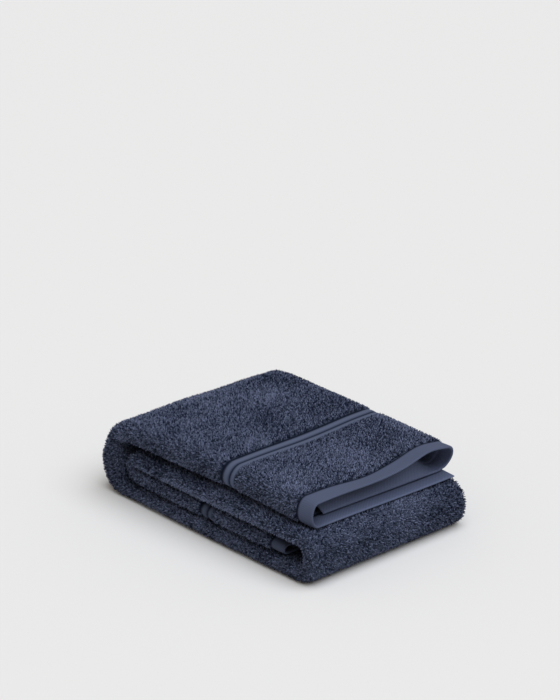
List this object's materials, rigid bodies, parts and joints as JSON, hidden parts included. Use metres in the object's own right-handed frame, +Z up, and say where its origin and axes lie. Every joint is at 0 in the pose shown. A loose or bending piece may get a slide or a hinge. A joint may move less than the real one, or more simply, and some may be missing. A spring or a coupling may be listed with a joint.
{
  "type": "bath towel",
  "caption": "Cotton terry bath towel folded in thirds across and then over in four panels, with flat-woven hems and a narrow woven band near each end.",
  "frame": {"origin": "on the surface that the folded towel rests on, under the middle of its box", "axes": "+X along the hems, +Y from the upper hem towards the bend behind it, +Z up"},
  "size_m": [0.2467, 0.3712, 0.1029],
  "materials": {
    "cotton_terry": "matte"
  },
  "bodies": {
    "root": {"towel": "cotton_terry"}
  },
  "joints": []
}
